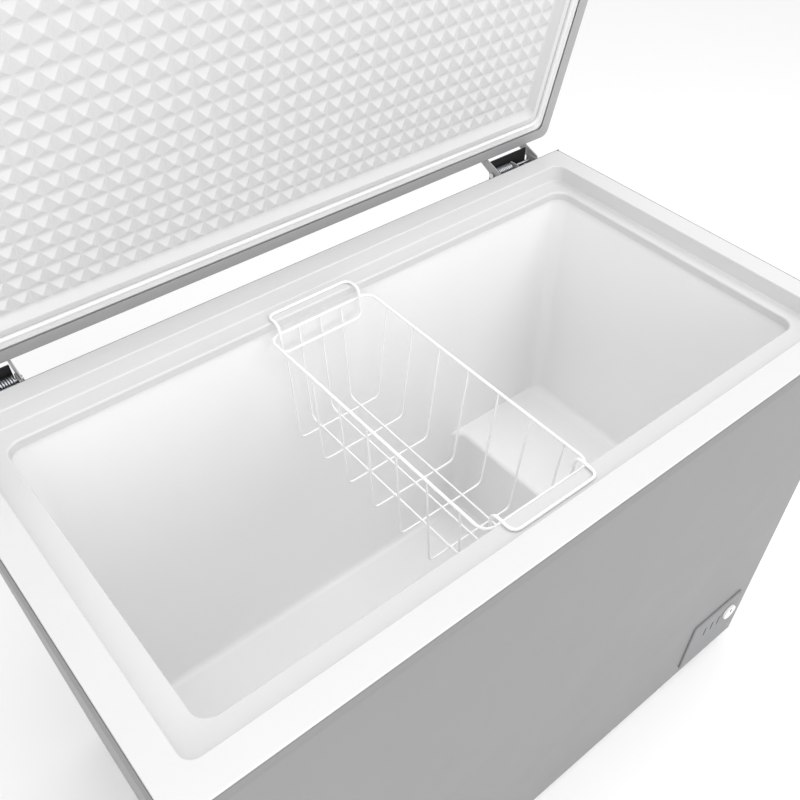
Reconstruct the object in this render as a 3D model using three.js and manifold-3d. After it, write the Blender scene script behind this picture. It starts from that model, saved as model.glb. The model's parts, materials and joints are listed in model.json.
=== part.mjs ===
// Chest freezer with its lid open: insulated cabinet, compressor bay, sprung hinges, lid and wire basket.
// Millimetres, +Z up, front towards -Y. The origin is on the floor under the middle of the open freezer.
import * as THREE from 'three';
import { mergeVertices } from 'three/addons/utils/BufferGeometryUtils.js';
import Module from 'manifold-3d';

// Driving dimensions. Places along X are taken from the middle of the cabinet.
const RIM_LENGTH = 1065; // outer length of the white top frame
const RIM_DEPTH = 605; // outer depth of the white top frame, front edge at y = 0
const RIM_HEIGHT = 790; // floor to the top of the rim
const TUB_DEPTH = 671; // top of the rim down to the liner's floor
const LID_HEIGHT = 56; // lid shell, flange to top
const LID_OPEN = 77; // degrees from closed to the modelled pose
const GAP = 0.3; // between pieces that touch

const SHEET = 1; // painted sheet
const SKIRT = 4; // how far the wrapper stands out beyond the rim at the front and the ends
const BAND = 10; // height of the bevelled band at the wrapper's top
const PANEL_BOTTOM = RIM_HEIGHT - 762; // lower edge of the wrapper
const FOOT_HEIGHT = 8;
const FOOT_RADIUS = 20;
const FRAME = 3; // wall of the top frame
const RIM_FLAT = { left: 36, right: 35, front: 40, back: 37 }; // widths of the rim's flat top
const LEDGE = { left: 31, right: 21, front: 39, back: 29 }; // widths of the basket ledge
const STEP = 26; // rim top down to the ledge
const LIP = 13; // ledge down to the lip's lower edge
const SETBACK = 4; // liner wall behind the lip
const LINER = 1.5;
const DRAFT = 0.012; // lean of the liner walls per mm of depth
const CORNER = 25; // liner's upright corners
const HUMP_LENGTH = 204; // compressor hump, from the liner's right wall at the hump's top
const HUMP_HEIGHT = 215; // above the liner's floor
const FOAM_OVER_BAY = 50;
const TUBE_GAP = 10; // room for the evaporator tube between liner and foam
const CLEAR = 2; // floor panels inside the wrapper's rounded corners
const SKIN_GAP = 7; // room for the condenser tube behind the front sheet
const EVAPORATOR = { radius: 3.5, turns: 5, pitch: 68, top: 75 };
const CONDENSER = { radius: 2.4, runs: 6, margin: 60, bend: 25 };
const VENT = { count: 6, pitch: 22, width: 5, height: 60, below: 30 }; // slots in the bay's end wall
const PLINTH = { inset: 12, width: 14, pad: 56 };
const COVER = { slots: 7, slot: 8, margin: 20, thick: 1.5 }; // louvred cover of the bay
const COMPRESSOR = { radius: 72, height: 165, feetX: 62, feetY: 95, ahead: 175 }; // ahead of the back
const GROMMET = { radius: 10, height: 14 };
const GLAND = { inset: 13, above: 18, outer: 8.5, neck: 5.6, bore: 3.5 };

const PANEL = { right: 30, width: 138, height: 140, below: 601, thick: 4 }; // control panel
const SLOT = { first: 41, pitch: 20, count: 3, width: 4, height: 26, below: 33 };
const KNOB = { radius: 16, deep: 6, x: 107, below: 40, shaft: 3 };

const LID_OVER = 6; // lid beyond the rim at both ends
const LID_FRONT = 7; // lid beyond the rim at the front
const LID_REAR = 1.5; // lid beyond the rim at the back
const LID_LIFT = 4; // flange above the rim when closed
const FLANGE = 17;
const GASKET = { from: 23, to: 40 }; // measured in from the lid's edge
const BORDER = 52; // liner border's inner edge, from the lid's edge
const FIELD = 66; // embossed field's edge, from the lid's edge
const FIELD_LEVEL = 13; // embossed field above the rim when closed
const LID_LINER_TOP = 15;
const BORDER_LEVEL = 3;

const PIN = { back: 20.5, below: 13, radius: 3 }; // hinge axis behind the rim and under its top
const HINGE = { outer: 40, width: 90, cheek: 2, web: 2, drop: 75, reach: 28 }; // outer: from the rim's end
const SPRING = { radius: 8, wire: 1.3, turns: 7, length: 30 };

const BASKET = {
  x: -15.5, width: 172, depth: 162, taper: 27, lean: 8.5, endTaper: 22, top: 43, room: 13, wireInset: 43,
};
const HOOK = { left: 14, right: 22, rear: 16, front: 18, drop: 28, lean: 3, bend: 9 };
const WIRE = 1.5; // thin wires' radius
const ROD = 2.6; // rim and hooks' radius
const CROSS_WIRES = 7;
const LONG_WIRES = 3;

// Sizes that follow.
const HALF = RIM_LENGTH / 2;
const BACK = RIM_DEPTH;
const OUT = HALF + SKIRT;
const LEFT_WALL = -HALF + RIM_FLAT.left + LEDGE.left - SETBACK;
const RIGHT_WALL = HALF - RIM_FLAT.right - LEDGE.right + SETBACK;
const FRONT_WALL = RIM_FLAT.front + LEDGE.front - SETBACK;
const BACK_WALL = BACK - RIM_FLAT.back - LEDGE.back + SETBACK;
const TUB_FLOOR = RIM_HEIGHT - TUB_DEPTH;
const HUMP_TOP = TUB_FLOOR + HUMP_HEIGHT;
const HUMP_LEFT = RIGHT_WALL - DRAFT * (RIM_HEIGHT - HUMP_TOP) - HUMP_LENGTH;
const BAY_LEFT = HUMP_LEFT + FOAM_OVER_BAY;
const BAY_TOP = HUMP_TOP - FOAM_OVER_BAY;
const DECK = PANEL_BOTTOM + 1.5; // top of the bottom panel
const PANEL_TOP = RIM_HEIGHT - PANEL.below;
const PANEL_LEFT = HALF - PANEL.right - PANEL.width;
const PIN_Y = BACK + PIN.back;
const PIN_Z = RIM_HEIGHT - PIN.below;
const LID = {
  x: HALF + LID_OVER,
  front: -LID_FRONT,
  back: BACK + LID_REAR,
  bottom: RIM_HEIGHT + LID_LIFT,
  top: RIM_HEIGHT + LID_LIFT + LID_HEIGHT,
};

const paint = (color, roughness, metalness = 0) =>
  new THREE.MeshStandardMaterial({ color, roughness, metalness });
const MATERIALS = {
  sheet: paint(0xa9aaab, 0.4, 0.1),
  white: paint(0xeeeeec, 0.35),
  liner: paint(0xe9eaea, 0.3),
  foam: paint(0xe8dcae, 0.95),
  rubber: paint(0x2b2b2c, 0.8),
  seal: paint(0xf0f0ee, 0.6),
  black: paint(0x1d1d1e, 0.6),
  steel: paint(0x9a9c9e, 0.35, 0.9),
  zinc: paint(0xc9ccd0, 0.3, 0.9),
  copper: paint(0xb87345, 0.3, 1),
  coated: paint(0xf6f6f5, 0.35),
  shell: paint(0x151516, 0.4),
  plastic: paint(0x9fa0a1, 0.5),
  pale: paint(0xd8d8d6, 0.5),
};

const wasm = await Module();
wasm.setup();

function toManifold(geometry) {
  const bare = new THREE.BufferGeometry();
  const source = geometry.index ? geometry.toNonIndexed() : geometry;
  bare.setAttribute('position', source.getAttribute('position').clone());
  const merged = mergeVertices(bare, 1e-3);
  return new wasm.Manifold(
    new wasm.Mesh({
      numProp: 3,
      vertProperties: merged.attributes.position.array,
      triVerts: new Uint32Array(merged.index.array),
    }),
  );
}

function fromManifold(solid) {
  const mesh = solid.getMesh();
  const geometry = new THREE.BufferGeometry();
  geometry.setAttribute('position', new THREE.BufferAttribute(new Float32Array(mesh.vertProperties), 3));
  geometry.setIndex(new THREE.BufferAttribute(new Uint32Array(mesh.triVerts), 1));
  const flat = geometry.toNonIndexed();
  flat.computeVertexNormals();
  return flat;
}

const join = (...pieces) => fromManifold(pieces.map(toManifold).reduce((a, b) => a.add(b)));
function cut(body, ...tools) {
  return fromManifold(tools.map(toManifold).reduce((a, b) => a.subtract(b), toManifold(body)));
}

function block(x0, x1, y0, y1, z0, z1) {
  const box = new THREE.BoxGeometry(x1 - x0, y1 - y0, z1 - z0);
  return box.translate((x0 + x1) / 2, (y0 + y1) / 2, (z0 + z1) / 2);
}

// Rectangle in plan with rounded corners.
function plan(x0, x1, y0, y1, r) {
  const s = new THREE.Shape();
  s.moveTo(x0 + r, y0);
  s.lineTo(x1 - r, y0).absarc(x1 - r, y0 + r, r, -Math.PI / 2, 0, false);
  s.lineTo(x1, y1 - r).absarc(x1 - r, y1 - r, r, 0, Math.PI / 2, false);
  s.lineTo(x0 + r, y1).absarc(x0 + r, y1 - r, r, Math.PI / 2, Math.PI, false);
  s.lineTo(x0, y0 + r).absarc(x0 + r, y0 + r, r, Math.PI, Math.PI * 1.5, false);
  return s;
}

function prism(shape, z0, z1, curveSegments = 4) {
  const options = { depth: z1 - z0, bevelEnabled: false, curveSegments };
  return new THREE.ExtrudeGeometry(shape, options).translate(0, 0, z0);
}

// A rounded prism whose plan changes evenly from the rectangle low at z0 to the rectangle high at z1.
function tapered(low, high, r, z0, z1) {
  const geometry = prism(plan(...high, r), z0, z1);
  const position = geometry.attributes.position;
  const ratioX = (low[1] - low[0]) / (high[1] - high[0]);
  const ratioY = (low[3] - low[2]) / (high[3] - high[2]);
  for (let i = 0; i < position.count; i++) {
    if (position.getZ(i) > (z0 + z1) / 2) continue;
    position.setX(i, low[0] + (position.getX(i) - high[0]) * ratioX);
    position.setY(i, low[2] + (position.getY(i) - high[2]) * ratioY);
  }
  return geometry;
}

const X = new THREE.Vector3(1, 0, 0);
const Y = new THREE.Vector3(0, 1, 0);
const Z = new THREE.Vector3(0, 0, 1);

// A plate standing across X, its outline given as [y, z] points.
function plateX(points, x0, x1, holes = []) {
  const shape = new THREE.Shape(points.map(([y, z]) => new THREE.Vector2(y, z)));
  for (const [y, z, r] of holes) {
    const hole = new THREE.Path();
    hole.absarc(y, z, r, 0, Math.PI * 2, true);
    shape.holes.push(hole);
  }
  const options = { depth: x1 - x0, bevelEnabled: false, curveSegments: 6 };
  const geometry = new THREE.ExtrudeGeometry(shape, options);
  return geometry.applyMatrix4(new THREE.Matrix4().makeBasis(Y, Z, X)).translate(x0, 0, 0);
}

// A round bar along an axis from a start point.
function bar(axis, x, y, z, radius, length, sides = 16) {
  const geometry = new THREE.CylinderGeometry(radius, radius, length, sides).translate(0, length / 2, 0);
  if (axis === 'x') geometry.rotateZ(-Math.PI / 2);
  if (axis === 'z') geometry.rotateX(Math.PI / 2);
  return geometry.translate(x, y, z);
}

// A path through given points that keeps exactly those points as its sections.
class Bent extends THREE.Curve {
  constructor(points) {
    super();
    this.points = points;
  }

  getPoint(t) {
    const at = t * (this.points.length - 1);
    const i = Math.min(Math.floor(at + 1e-9), this.points.length - 2);
    return this.points[i].clone().lerp(this.points[i + 1], at - i);
  }

  getPointAt(u) {
    return this.getPoint(u);
  }

  getTangentAt(u) {
    const i = Math.round(u * (this.points.length - 1));
    const before = this.points[Math.max(i - 1, 0)];
    const here = this.points[i];
    const after = this.points[Math.min(i + 1, this.points.length - 1)];
    const tangent = new THREE.Vector3();
    for (const [from, to] of [[before, here], [here, after]]) {
      if (from !== to) tangent.add(to.clone().sub(from).normalize());
    }
    return tangent.normalize();
  }
}

// Corner points replaced by arcs of the given radius, each in a few steps.
function rounded(corners, radius, steps = 3) {
  const points = corners.map((p) => new THREE.Vector3(...p));
  const path = [points[0]];
  for (let i = 1; i < points.length - 1; i++) {
    const into = points[i - 1].clone().sub(points[i]);
    const out = points[i + 1].clone().sub(points[i]);
    const tangent = radius / Math.tan(into.angleTo(out) / 2);
    const reach = Math.min(tangent, into.length() * 0.48, out.length() * 0.48);
    const start = points[i].clone().addScaledVector(into.normalize(), reach);
    const end = points[i].clone().addScaledVector(out.normalize(), reach);
    const arc = new THREE.QuadraticBezierCurve3(start, points[i], end);
    path.push(...arc.getPoints(steps));
  }
  path.push(points[points.length - 1]);
  return path;
}

function sweep(path, radius, sides = 8) {
  const section = new THREE.Shape();
  for (let i = 0; i < sides; i++) {
    const angle = (i / sides) * Math.PI * 2;
    section[i ? 'lineTo' : 'moveTo'](radius * Math.cos(angle), radius * Math.sin(angle));
  }
  return new THREE.ExtrudeGeometry(section, { steps: path.length - 1, extrudePath: new Bent(path) });
}

function wire(corners, radius, bend, sides = 8, steps = 3) {
  return sweep(rounded(corners, bend, steps), radius, sides);
}

// A closed wire loop made of two halves that meet in the middle of its first and third sides.
function loop(corners, radius, bend) {
  const mid = (a, b) => a.map((value, i) => (value + b[i]) / 2);
  const [a, b, c, d] = corners;
  const [first, third] = [mid(a, b), mid(c, d)];
  const over = (from, to) => from.map((value, i) => value + (to[i] - value) * 0.01);
  const one = wire([over(first, a), b, c, over(third, d)], radius, bend, 8, 4);
  const two = wire([third, d, a, first], radius, bend, 8, 4);
  return join(one, two);
}

const root = new THREE.Group();
const cabinet = new THREE.Group();
root.add(cabinet);

function add(group, name, geometry, material) {
  const mesh = new THREE.Mesh(geometry, material);
  mesh.name = name;
  group.add(mesh);
  return mesh;
}

// Outer wrapper: one sheet round the front and both ends, with a bevelled band at the top.
function outerWrapper() {
  const outline = (inset) => [-OUT + inset, OUT - inset, -SKIRT + inset, BACK + 40];
  const bandTop = RIM_HEIGHT - 1;
  const bandFoot = RIM_HEIGHT - BAND;
  const lean = SKIRT - SHEET;
  const wall = cut(
    prism(plan(...outline(0), 6), PANEL_BOTTOM, bandFoot),
    prism(plan(...outline(SHEET), 5), PANEL_BOTTOM - 1, bandFoot + 1),
  );
  const band = cut(
    tapered(outline(0), outline(lean), 6, bandFoot, bandTop),
    tapered(outline(SHEET), outline(lean + SHEET), 5, bandFoot - 0.01, bandTop + 0.01),
  );
  const open = block(-OUT - 5, OUT + 5, BACK - SHEET - GAP, BACK + 60, 0, RIM_HEIGHT + 5);
  const opening = block(
    PANEL_LEFT + 6, PANEL_LEFT + PANEL.width - 6, -20, 20, PANEL_TOP - PANEL.height + 6, PANEL_TOP - 6,
  );
  const slots = [];
  const ventTop = BAY_TOP - VENT.below;
  for (let i = 0; i < VENT.count; i++) {
    const y = BACK * 0.45 + i * VENT.pitch;
    slots.push(block(OUT - 10, OUT + 10, y, y + VENT.width, ventTop - VENT.height, ventTop));
  }
  return cut(join(wall, band), open, opening, ...slots);
}

function rearPanel() {
  const screwHoles = hingeScrews().map(([x, z]) => bar('y', x, BACK - 10, z, 2.3, 20, 10));
  const access = block(BAY_LEFT + 15, OUT - 25, BACK - 20, BACK + 20, DECK + 20, BAY_TOP - 10);
  const gland = bar('y', OUT - GLAND.inset, BACK - 20, DECK + GLAND.above, GLAND.neck + 0.4, 40, 16);
  const sheet = block(-OUT, OUT, BACK - SHEET, BACK, PANEL_BOTTOM, RIM_HEIGHT - 1);
  return cut(sheet, access, gland, ...screwHoles);
}

function topFrame() {
  const outer = [-HALF + GAP, HALF - GAP, GAP, BACK - SHEET - GAP];
  const step = [-HALF + RIM_FLAT.left, HALF - RIM_FLAT.right, RIM_FLAT.front, BACK - RIM_FLAT.back];
  const mouth = [
    step[0] + LEDGE.left, step[1] - LEDGE.right, step[2] + LEDGE.front, step[3] - LEDGE.back,
  ];
  const grow = ([x0, x1, y0, y1], by) => [x0 - by, x1 + by, y0 - by, y1 + by];
  const ledgeZ = RIM_HEIGHT - STEP;
  const lipZ = ledgeZ - LIP;
  const flat = prism(plan(...outer, 6), RIM_HEIGHT - FRAME, RIM_HEIGHT);
  const stepWall = prism(plan(...grow(step, FRAME), 18), ledgeZ - FRAME, RIM_HEIGHT);
  const lip = prism(plan(...grow(mouth, FRAME), CORNER), lipZ, ledgeZ);
  const recess = prism(plan(...step, 15), ledgeZ, RIM_HEIGHT + 1);
  const opening = prism(plan(...mouth, CORNER - FRAME), lipZ - 1, RIM_HEIGHT + 1);
  return cut(join(flat, stepWall, lip), recess, opening);
}

// Liner walls at a height, moved out by a distance.
function linerPlan(z, out = 0) {
  const lean = DRAFT * (RIM_HEIGHT - z);
  return [
    LEFT_WALL + lean - out, RIGHT_WALL - lean + out, FRONT_WALL + lean - out, BACK_WALL - lean + out,
  ];
}

const LINER_TOP = RIM_HEIGHT - STEP - FRAME - GAP;

function tub(out, floor, top) {
  const body = tapered(linerPlan(floor, out), linerPlan(top, out), CORNER + out, floor, top);
  const hump = block(HUMP_LEFT + out, OUT, -50, BACK + 50, floor - 10, HUMP_TOP - out);
  return cut(body, hump);
}

const innerLiner = () => cut(tub(LINER, TUB_FLOOR - LINER, LINER_TOP), tub(0, TUB_FLOOR, LINER_TOP + 1));

function insulationFoam() {
  const side = OUT - SHEET - GAP;
  const front = -SKIRT + SHEET + SKIN_GAP;
  const rear = BACK - SHEET - GAP;
  const body = block(-side, side, front, rear, DECK + GAP, RIM_HEIGHT - BAND - GAP);
  const frameRoom = block(
    -HALF + RIM_FLAT.left - FRAME - GAP, HALF - RIM_FLAT.right + FRAME + GAP,
    RIM_FLAT.front - FRAME - GAP, BACK - RIM_FLAT.back + FRAME + GAP,
    RIM_HEIGHT - STEP - FRAME - GAP, RIM_HEIGHT + 10,
  );
  const out = LINER + TUBE_GAP;
  const linerRoom = tub(out, TUB_FLOOR - LINER - GAP, RIM_HEIGHT);
  const bay = block(BAY_LEFT, OUT + 10, front - 10, BACK + 10, 0, BAY_TOP);
  const screwRoom = hingeScrews().map(([x, z]) => bar('y', x, BACK - 20, z, 2.6, 30, 8));
  return cut(body, frameRoom, linerRoom, bay, ...screwRoom);
}

// Evaporator: one tube wound down round the liner.
function evaporatorTube() {
  const corners = [];
  const out = LINER + TUBE_GAP / 2;
  for (let i = 0; i <= EVAPORATOR.turns * 4; i++) {
    const z = RIM_HEIGHT - EVAPORATOR.top - (i / 4) * EVAPORATOR.pitch;
    const [x0, x1, y0, y1] = linerPlan(z, out);
    corners.push([[x0, y0], [x1, y0], [x1, y1], [x0, y1]][i % 4].concat(z));
  }
  corners[0][0] += CORNER * 2;
  corners[corners.length - 1][1] += CORNER * 2;
  return wire(corners, EVAPORATOR.radius, CORNER + TUBE_GAP, 6, 3);
}

// Condenser: a tube in runs up and down behind the front sheet.
function condenserTube() {
  const y = -SKIRT + SHEET + SKIN_GAP / 2;
  const [low, high] = [PANEL_TOP + 60, RIM_HEIGHT - 90];
  const start = -HALF + CONDENSER.margin;
  const pitch = (RIM_LENGTH - 2 * CONDENSER.margin) / (CONDENSER.runs - 1);
  const corners = [];
  for (let i = 0; i < CONDENSER.runs; i++) {
    const x = start + i * pitch;
    const ends = i % 2 ? [high, low] : [low, high];
    corners.push([x, y, ends[0]], [x, y, ends[1]]);
  }
  return wire(corners, CONDENSER.radius, CONDENSER.bend, 6, 3);
}

function plinthFrame() {
  const [x, y0, y1] = [OUT - PLINTH.inset, -SKIRT + PLINTH.inset, BACK - PLINTH.inset];
  const [z0, z1] = [FOOT_HEIGHT, PANEL_BOTTOM - GAP];
  const { width, pad } = PLINTH;
  const inside = block(-x + width, x - width, y0 + width, y1 - width, z0 - 1, z1 + 1);
  const ring = cut(block(-x, x, y0, y1, z0, z1), inside);
  const pads = [];
  for (const side of [-1, 1]) {
    const [a, b] = side < 0 ? [-x, -x + pad] : [x - pad, x];
    pads.push(block(a, b, y0, y0 + pad, z0, z1), block(a, b, y1 - pad, y1, z0, z1));
  }
  return join(ring, ...pads);
}

function addFeet() {
  const reach = PLINTH.inset + PLINTH.pad / 2;
  const [x, y0, y1] = [OUT - reach, -SKIRT + reach, BACK - reach];
  for (const [end, sx] of [['left', -x], ['right', x]]) {
    for (const [row, sy] of [['front', y0], ['rear', y1]]) {
      const foot = new THREE.CylinderGeometry(FOOT_RADIUS, FOOT_RADIUS - 3, FOOT_HEIGHT - GAP, 20);
      foot.rotateX(Math.PI / 2).translate(sx, sy, (FOOT_HEIGHT - GAP) / 2);
      add(cabinet, `foot_${row}_${end}`, foot, MATERIALS.rubber);
    }
  }
}

// Compressor bay: plate, compressor on four grommets, relay, pipes and drier.
const COMPRESSOR_X = (BAY_LEFT + OUT) / 2;
const COMPRESSOR_Y = BACK - COMPRESSOR.ahead;

function compressorShell() {
  const { radius: r, height: h, feetX, feetY } = COMPRESSOR;
  const [x, y] = [COMPRESSOR_X, COMPRESSOR_Y];
  const foot = DECK + GROMMET.height + 2 * GAP;
  const z = foot + 3;
  const profile = [
    [0, 0], [r * 0.72, 0], [r * 0.93, h * 0.1], [r, h * 0.24], [r, h * 0.5], [r + 4, h * 0.5],
    [r + 4, h * 0.55], [r, h * 0.55], [r * 0.98, h * 0.78], [r * 0.8, h * 0.93], [r * 0.45, h], [0, h],
  ];
  const lathe = new THREE.LatheGeometry(profile.map(([a, b]) => new THREE.Vector2(a, b)), 24);
  const dome = lathe.rotateX(Math.PI / 2).translate(x, y, z - 0.5);
  const bracket = block(x - feetX - 14, x + feetX + 14, y - feetY - 14, y + feetY + 14, foot, z);
  return join(dome, bracket);
}

function addCompressor() {
  const { radius: r, height: h, feetX, feetY } = COMPRESSOR;
  const [x, y] = [COMPRESSOR_X, COMPRESSOR_Y];
  add(cabinet, 'compressor', compressorShell(), MATERIALS.shell);
  let count = 0;
  for (const dx of [-feetX, feetX]) {
    for (const dy of [-feetY, feetY]) {
      const grommet = bar('z', x + dx, y + dy, DECK + GAP, GROMMET.radius, GROMMET.height, 14);
      add(cabinet, `compressor_grommet_${++count}`, grommet, MATERIALS.rubber);
    }
  }
  const base = DECK + GROMMET.height + 3;
  const relay = block(x - 28, x + 28, y - r - 42, y - r - 5, base + h * 0.22, base + h * 0.6);
  add(cabinet, 'start_relay', relay, MATERIALS.black);
  const port = base + h * 0.8;
  const ceiling = BAY_TOP - GAP;
  const discharge = [[x - 20, y + r + 6, port], [x - 20, y + r + 34, port], [x - 20, y + r + 34, ceiling]];
  add(cabinet, 'discharge_pipe', wire(discharge, 3, 12), MATERIALS.copper);
  const suction = [
    [x + 24, y + r + 6, port - 12], [x + 24, y + r + 34, port - 12], [x + 24, y + r + 34, ceiling],
  ];
  add(cabinet, 'suction_pipe', wire(suction, 4, 12), MATERIALS.copper);
  const capsule = new THREE.CapsuleGeometry(9.5, 80, 4, 14).rotateX(Math.PI / 2);
  const drier = capsule.translate(BAY_LEFT + 14, y - 60, BAY_TOP - 70);
  add(cabinet, 'filter_drier', drier, MATERIALS.copper);
}

function compressorPlate() {
  const [front, rear] = [-SKIRT + SHEET + CLEAR, BACK - SHEET - GAP];
  return block(BAY_LEFT, OUT - SHEET - CLEAR, front, rear, PANEL_BOTTOM, DECK);
}

function compressorCover() {
  const [x0, x1] = [BAY_LEFT + 5, OUT - 18];
  const [z0, z1] = [DECK + 28, BAY_TOP - 2];
  const slots = [];
  const pitch = (z1 - z0 - 1.5 * COVER.margin) / COVER.slots;
  for (let i = 0; i < COVER.slots; i++) {
    const z = z0 + COVER.margin + i * pitch;
    slots.push(block(x0 + 25, x1 - 25, BACK - 5, BACK + 10, z, z + COVER.slot));
  }
  return cut(block(x0, x1, BACK + GAP, BACK + GAP + COVER.thick, z0, z1), ...slots);
}

// Control panel: a bezel over the front's window, with slots and a thermostat behind the knob.
const KNOB_X = PANEL_LEFT + KNOB.x;
const KNOB_Z = PANEL_TOP - KNOB.below;
const PANEL_FACE = -SKIRT - PANEL.thick;

function controlPanel() {
  const [x0, x1] = [PANEL_LEFT, PANEL_LEFT + PANEL.width];
  const [z0, z1] = [PANEL_TOP - PANEL.height, PANEL_TOP];
  const options = { depth: PANEL.thick - GAP - 1.5, bevelThickness: 1.5, bevelSize: 1.5, bevelSegments: 1 };
  const face = new THREE.ExtrudeGeometry(plan(x0 + 1.5, x1 - 1.5, z0 + 1.5, z1 - 1.5, 6), {
    ...options, curveSegments: 3,
  });
  face.rotateX(Math.PI / 2).translate(0, -SKIRT - GAP, 0);
  const trim = block(x0 - 5, x1 + 5, -SKIRT - GAP, 10, z0 - 5, z1 + 5);
  const socket = block(x0 + 7, x1 - 7, -SKIRT - 1, -SKIRT + 10, z0 + 7, z1 - 7);
  const hollow = block(x0 + 9, x1 - 9, -SKIRT, -SKIRT + 20, z0 + 9, z1 - 9);
  const slots = [];
  for (let i = 0; i < SLOT.count; i++) {
    const x = x0 + SLOT.first + i * SLOT.pitch;
    const z = z1 - SLOT.below;
    slots.push(block(x - SLOT.width / 2, x + SLOT.width / 2, -40, 40, z - SLOT.height, z));
  }
  const shaftHole = bar('y', KNOB_X, -40, KNOB_Z, KNOB.shaft + 1, 80, 16);
  return cut(join(cut(face, trim), socket), hollow, shaftHole, ...slots);
}

function thermostat() {
  const body = block(KNOB_X - 22, KNOB_X + 22, -SKIRT + 14, -SKIRT + 46, KNOB_Z - 18, KNOB_Z + 18);
  const shaft = bar('y', KNOB_X, PANEL_FACE - KNOB.deep + 3, KNOB_Z, KNOB.shaft, SKIRT + 22, 12);
  return join(body, shaft);
}

function thermostatKnob() {
  const r = KNOB.radius;
  const back = PANEL_FACE - GAP;
  const deep = KNOB.deep;
  const profile = [[0, 0], [r, 0], [r, deep - 2], [r - 0.6, deep - 0.6], [r - 2, deep], [0, deep]];
  const lathe = new THREE.LatheGeometry(profile.map(([a, b]) => new THREE.Vector2(a, b)), 28);
  const dial = lathe.rotateX(Math.PI).translate(KNOB_X, back, KNOB_Z);
  const bore = bar('y', KNOB_X, back - deep + 2, KNOB_Z, KNOB.shaft + GAP, deep, 12);
  const face = back - deep;
  const mark = block(KNOB_X - 1, KNOB_X + 1, face - 1, face + 0.8, KNOB_Z + 4, KNOB_Z + r - 3);
  return cut(dial, bore, mark);
}

function cordGland() {
  const [x, z] = [OUT - GLAND.inset, DECK + GLAND.above];
  const collar = bar('y', x, BACK + GAP, z, GLAND.outer, 6, 16);
  const neck = bar('y', x, BACK - 8, z, GLAND.neck, 12, 16);
  return cut(join(collar, neck), bar('y', x, BACK - 20, z, GLAND.bore, 40, 12));
}

// Hinges: base on the cabinet's back, leaf on the lid's back, pin, spring and tray.
const HINGE_OUT = HALF - HINGE.outer;
const HINGE_IN = HINGE_OUT - HINGE.width;
const HINGE_FRONT = BACK + GAP;
const LEAF_ROOM = HINGE.cheek + 0.6; // leaf's cheeks outside the base's
const CENTRE_CHEEK = (HINGE_IN + HINGE_OUT) / 2;

// A span of X for one side of the cabinet, given on the right.
const span = (side, a, b) => (side > 0 ? [a, b] : [-b, -a]);

function hingeScrews() {
  const z = RIM_HEIGHT - HINGE.drop + 14;
  const places = [];
  for (const side of [-1, 1]) {
    for (const x of [HINGE_IN + 16, HINGE_OUT - 16]) places.push([side * x, z]);
  }
  return places;
}

function hingeBase(side) {
  const front = HINGE_FRONT + HINGE.web;
  const rear = BACK + HINGE.reach;
  const low = RIM_HEIGHT - HINGE.drop;
  const top = RIM_HEIGHT - 4;
  const cheek = [
    [front - 0.5, low], [front + 6, low], [rear, low + 25], [rear, top - 6], [rear - 4, top],
    [front + 4, top], [front - 0.5, top - 4],
  ];
  const middle = [
    [front - 0.5, top - 26], [rear - 6, top - 26], [rear, top - 18], [rear, top - 6], [rear - 4, top],
    [front + 4, top], [front - 0.5, top - 4],
  ];
  const hole = [[PIN_Y, PIN_Z, PIN.radius + 0.1]];
  const t = HINGE.cheek;
  const [x0, x1] = [HINGE_IN + LEAF_ROOM, HINGE_OUT - LEAF_ROOM];
  const web = block(...span(side, x0, x1), HINGE_FRONT, front, low, top - 2);
  const holes = hingeScrews().map(([x, z]) => bar('y', x, BACK - 5, z, 2.3, 20, 10));
  const plates = join(
    web,
    plateX(cheek, ...span(side, x0, x0 + t), hole),
    plateX(middle, ...span(side, CENTRE_CHEEK - t / 2, CENTRE_CHEEK + t / 2), hole),
    plateX(cheek, ...span(side, x1 - t, x1), hole),
  );
  return cut(plates, ...holes);
}

function hingePin(side) {
  const [x0, x1] = span(side, HINGE_IN - 3, HINGE_OUT + 3);
  const head = span(side, HINGE_IN - 3, HINGE_IN - GAP);
  const rod = bar('x', x0, PIN_Y, PIN_Z, PIN.radius - 0.1, x1 - x0, 14);
  return join(rod, bar('x', head[0], PIN_Y, PIN_Z, PIN.radius + 2, head[1] - head[0], 14));
}

function hingeSpring(side) {
  const steps = SPRING.turns * 12;
  const start = HINGE_IN + LEAF_ROOM + HINGE.cheek + 4;
  const path = [];
  for (let i = 0; i <= steps; i++) {
    const angle = (i / steps) * SPRING.turns * Math.PI * 2 + Math.PI;
    const x = side * (start + (i / steps) * SPRING.length);
    path.push(new THREE.Vector3(
      x, PIN_Y + SPRING.radius * Math.cos(angle), PIN_Z + SPRING.radius * Math.sin(angle),
    ));
  }
  return sweep(path, SPRING.wire, 6);
}

function hingeTray(side) {
  const t = LEAF_ROOM + HINGE.cheek + GAP;
  const [x0, x1] = span(side, HINGE_IN + t, HINGE_OUT - t);
  const [y0, y1] = [HINGE_FRONT + HINGE.web + GAP, BACK + HINGE.reach + 5];
  const z = RIM_HEIGHT - 36;
  const floor = block(x0, x1, y0, y1, z, z + 2);
  const wall = block(x0, x1, y1 - 2, y1, z, RIM_HEIGHT + 5);
  const slotSpan = span(side, CENTRE_CHEEK - 2, CENTRE_CHEEK + 2);
  const slot = block(...slotSpan, 0, BACK + HINGE.reach + GAP, z - 1, z + 60);
  return cut(join(floor, wall), slot);
}

function addHinge(side) {
  const end = side < 0 ? 'left' : 'right';
  add(cabinet, `hinge_base_${end}`, hingeBase(side), MATERIALS.sheet);
  add(cabinet, `hinge_pin_${end}`, hingePin(side), MATERIALS.zinc);
  add(cabinet, `hinge_spring_${end}`, hingeSpring(side), MATERIALS.zinc);
  add(cabinet, `hinge_tray_${end}`, hingeTray(side), MATERIALS.black);
}

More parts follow.
